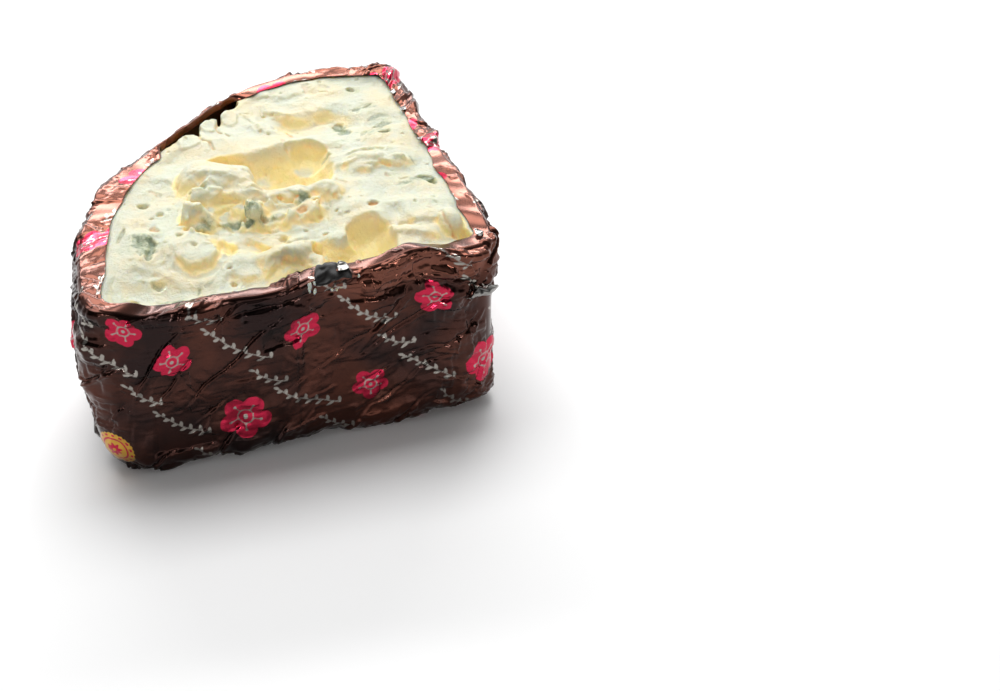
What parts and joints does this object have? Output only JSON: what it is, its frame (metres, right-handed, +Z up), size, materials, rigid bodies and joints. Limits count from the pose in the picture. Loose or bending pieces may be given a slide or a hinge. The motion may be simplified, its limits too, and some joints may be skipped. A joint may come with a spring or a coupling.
{
  "type": "wedge of blue cheese in foil",
  "caption": "Wedge of soft blue cheese, spooned out at the middle of its level cut face, in crumpled printed foil folded over the top edge.",
  "frame": {"origin": "centre of the bounding box at the level the wedge stands on", "axes": "+Z up through the level cut face, -Y out of the front cut side, +X out of the right cut side, the wheel's round at the back left"},
  "size_m": [0.1694, 0.1552, 0.0891],
  "materials": {
    "paste": "soft moist cream-white cheese with blue-green veins, torn and spooned",
    "foil": "thin aluminium foil under brown lacquer with a printed pattern, crumpled"
  },
  "bodies": {
    "root": {"cheese": "paste", "foil_wrap": "foil"}
  },
  "joints": []
}
